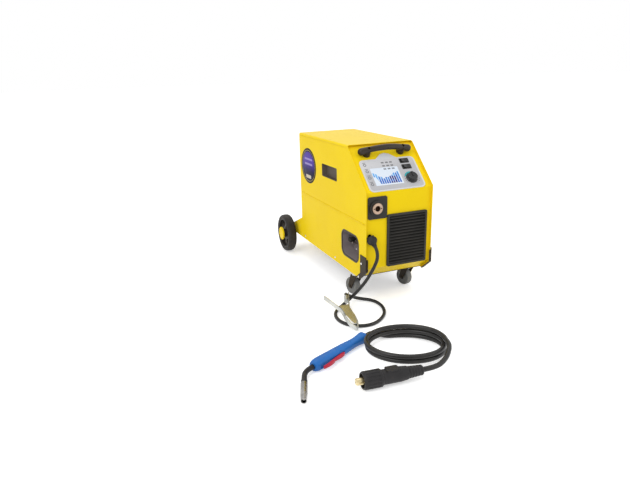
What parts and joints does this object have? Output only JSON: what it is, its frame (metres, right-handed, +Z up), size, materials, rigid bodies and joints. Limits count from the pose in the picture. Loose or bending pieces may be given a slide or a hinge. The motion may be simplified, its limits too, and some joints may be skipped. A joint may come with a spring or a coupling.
{
  "type": "mig welder",
  "caption": "Wire-feed welder in a sheet-metal cabinet on wheels and casters, with a bottle shelf, sloped controls, an earth clamp on its cable and a separate torch set.",
  "frame": {"origin": "on the floor under the machine's middle: half way along the cabinet with its rear wheels, on its centre plane", "axes": "+Z up, -Y towards the front of the machine, +X to the right seen from the front"},
  "size_m": [0.6873, 1.2103, 0.508],
  "materials": {
    "cabinet_paint": "gloss powder coat, yellow",
    "black_plastic": "fine-grained moulding, black",
    "fascia_grey": "satin, silver grey",
    "knob_black": "semi-gloss, black",
    "rocker_black": "gloss, black",
    "zinc_steel": "zinc plated",
    "dark_steel": "bright-drawn bar",
    "chrome_screw": "plated, polished",
    "socket_brass": "turned",
    "tyre_black": "solid rubber",
    "rim_black": "moulded wheel centre",
    "caster_grey": "moulded wheel",
    "core_steel": "varnished laminations",
    "copper_winding": "enamelled copper",
    "heatsink_alu": "extruded",
    "board_green": "circuit board with parts",
    "motor_grey": "satin",
    "spool_wire": "coppered steel wire between black flanges",
    "torch_blue": "semi-gloss, blue",
    "trigger_red": "semi-gloss, red",
    "neck_black": "insulated tube",
    "nozzle_metal": "plated copper",
    "cable_rubber": "smooth cable sheath, black",
    "clamp_steel": "zinc plated sheet"
  },
  "bodies": {
    "base": {"lower_left_panel": "cabinet_paint", "top_right_cover": "cabinet_paint", "front_panel": "cabinet_paint", "rear_panel": "cabinet_paint", "base_tray": "cabinet_paint", "bottle_shelf": "cabinet_paint", "hub_caps": "cabinet_paint", "door_hinge_leaf": "zinc_steel", "feed_bulkhead": "zinc_steel", "caster_plates": "zinc_steel", "polarity_tub": "black_plastic", "carry_handle": "black_plastic", "switch_housings": "black_plastic", "socket_plate": "black_plastic", "louvre_grille": "black_plastic", "earth_gland": "black_plastic", "corner_guards": "black_plastic", "mains_gland": "black_plastic", "fan_frame": "black_plastic", "torch_plug": "black_plastic", "polarity_terminals": "socket_brass", "torch_socket": "socket_brass", "torch_plug_pins": "socket_brass", "gas_valve": "socket_brass", "control_fascia": "fascia_grey", "case_screws": "chrome_screw", "rear_axle": "dark_steel", "transformer_core": "core_steel", "transformer_windings": "copper_winding", "rectifier_heatsink": "heatsink_alu", "control_board": "board_green", "feed_motor": "motor_grey", "torch_handle": "torch_blue", "torch_neck": "neck_black", "torch_nozzle": "nozzle_metal", "torch_coil": "cable_rubber", "torch_lead": "cable_rubber", "earth_coil": "cable_rubber", "earth_lead": "cable_rubber", "clamp_fixed_half": "clamp_steel"},
    "door": {"left_door": "cabinet_paint"},
    "power_rocker": {"power_rocker": "rocker_black"},
    "range_rocker": {"range_rocker": "rocker_black"},
    "current_knob": {"current_knob": "knob_black"},
    "rear_wheel_left": {"rear_rim_left": "rim_black", "rear_tyre_left": "tyre_black"},
    "rear_wheel_right": {"rear_rim_right": "rim_black", "rear_tyre_right": "tyre_black"},
    "caster_fork_left": {"caster_fork_left": "zinc_steel"},
    "caster_fork_right": {"caster_fork_right": "zinc_steel"},
    "caster_wheel_left": {"caster_wheel_left": "caster_grey"},
    "caster_wheel_right": {"caster_wheel_right": "caster_grey"},
    "fan": {"fan_rotor": "black_plastic"},
    "wire_spool": {"wire_spool": "spool_wire"},
    "drive_roller": {"drive_roller": "dark_steel"},
    "pressure_arm": {"pressure_arm": "motor_grey"},
    "pressure_roller": {"pressure_roller": "dark_steel"},
    "torch_trigger": {"torch_trigger": "trigger_red"},
    "plug_nut": {"torch_plug_nut": "black_plastic"},
    "clamp_jaw": {"clamp_moving_half": "clamp_steel"}
  },
  "joints": [
    {"name": "door_hinge", "type": "hinge", "parent": "base", "child": "door", "pos_m": [-0.11925, 0, 0.276], "axis": [0, -1, 0], "range_deg": [0, 110]},
    {"name": "power_rocker_tilt", "type": "hinge", "parent": "base", "child": "power_rocker", "pos_m": [0.06, -0.29306, 0.44995], "axis": [0, 0.7255, 0.6882], "range_deg": [-16, 0]},
    {"name": "range_rocker_tilt", "type": "hinge", "parent": "base", "child": "range_rocker", "pos_m": [0.06, -0.31047, 0.43343], "axis": [0, 0.7255, 0.6882], "range_deg": [-16, 0]},
    {"name": "current_knob_turn", "type": "hinge", "parent": "base", "child": "current_knob", "pos_m": [0.06, -0.34831, 0.40649], "axis": [0, -0.6882, 0.7255], "range_deg": [-135, 135]},
    {"name": "rear_wheel_left_spin", "type": "hinge", "parent": "base", "child": "rear_wheel_left", "pos_m": [-0.15, 0.30075, 0.078], "axis": [1, 0, 0], "continuous": true},
    {"name": "rear_wheel_right_spin", "type": "hinge", "parent": "base", "child": "rear_wheel_right", "pos_m": [0.15, 0.30075, 0.078], "axis": [1, 0, 0], "continuous": true},
    {"name": "caster_left_swivel", "type": "hinge", "parent": "base", "child": "caster_fork_left", "pos_m": [-0.101, -0.27375, 0.072], "axis": [0, 0, 1], "continuous": true},
    {"name": "caster_right_swivel", "type": "hinge", "parent": "base", "child": "caster_fork_right", "pos_m": [0.101, -0.27375, 0.072], "axis": [0, 0, 1], "continuous": true},
    {"name": "caster_left_spin", "type": "hinge", "parent": "caster_fork_left", "child": "caster_wheel_left", "pos_m": [-0.10516, -0.25419, 0.03], "axis": [0.9781, 0.2079, 0], "continuous": true},
    {"name": "caster_right_spin", "type": "hinge", "parent": "caster_fork_right", "child": "caster_wheel_right", "pos_m": [0.09684, -0.25419, 0.03], "axis": [0.9781, 0.2079, 0], "continuous": true},
    {"name": "fan_spin", "type": "hinge", "parent": "base", "child": "fan", "pos_m": [0.044, 0.17475, 0.33], "axis": [0, -1, 0], "continuous": true},
    {"name": "wire_spool_spin", "type": "hinge", "parent": "base", "child": "wire_spool", "pos_m": [-0.0835, 0.07325, 0.39], "axis": [1, 0, 0], "continuous": true},
    {"name": "drive_roller_spin", "type": "hinge", "parent": "base", "child": "drive_roller", "pos_m": [-0.082, -0.14375, 0.3106], "axis": [1, 0, 0], "continuous": true},
    {"name": "pressure_arm_swing", "type": "hinge", "parent": "base", "child": "pressure_arm", "pos_m": [-0.074, -0.18175, 0.34], "axis": [1, 0, 0], "range_deg": [0, 60]},
    {"name": "pressure_roller_spin", "type": "hinge", "parent": "pressure_arm", "child": "pressure_roller", "pos_m": [-0.082, -0.14375, 0.3414], "axis": [1, 0, 0], "continuous": true},
    {"name": "torch_trigger_press", "type": "hinge", "parent": "base", "child": "torch_trigger", "pos_m": [-0.33288, -0.64955, 0.0159], "axis": [0, 0, -1], "range_deg": [0, 3.5], "stiffness_Nm_per_rad": 0.3},
    {"name": "plug_nut_turn", "type": "hinge", "parent": "base", "child": "plug_nut", "pos_m": [-0.32335, -0.80538, 0.0234], "axis": [-0.9952, 0.0976, 0], "continuous": true},
    {"name": "clamp_jaw_open", "type": "hinge", "parent": "base", "child": "clamp_jaw", "pos_m": [-0.221, -0.44675, 0.031], "axis": [0.0137, 0.1955, -0.9806], "range_deg": [0, 25], "stiffness_Nm_per_rad": 0.8, "springref_deg": -17.19}
  ],
  "couplings": [
    {"joint": "drive_roller_spin", "follows": "wire_spool_spin", "ratio": -5.2667},
    {"joint": "pressure_roller_spin", "follows": "wire_spool_spin", "ratio": 5.2667}
  ]
}
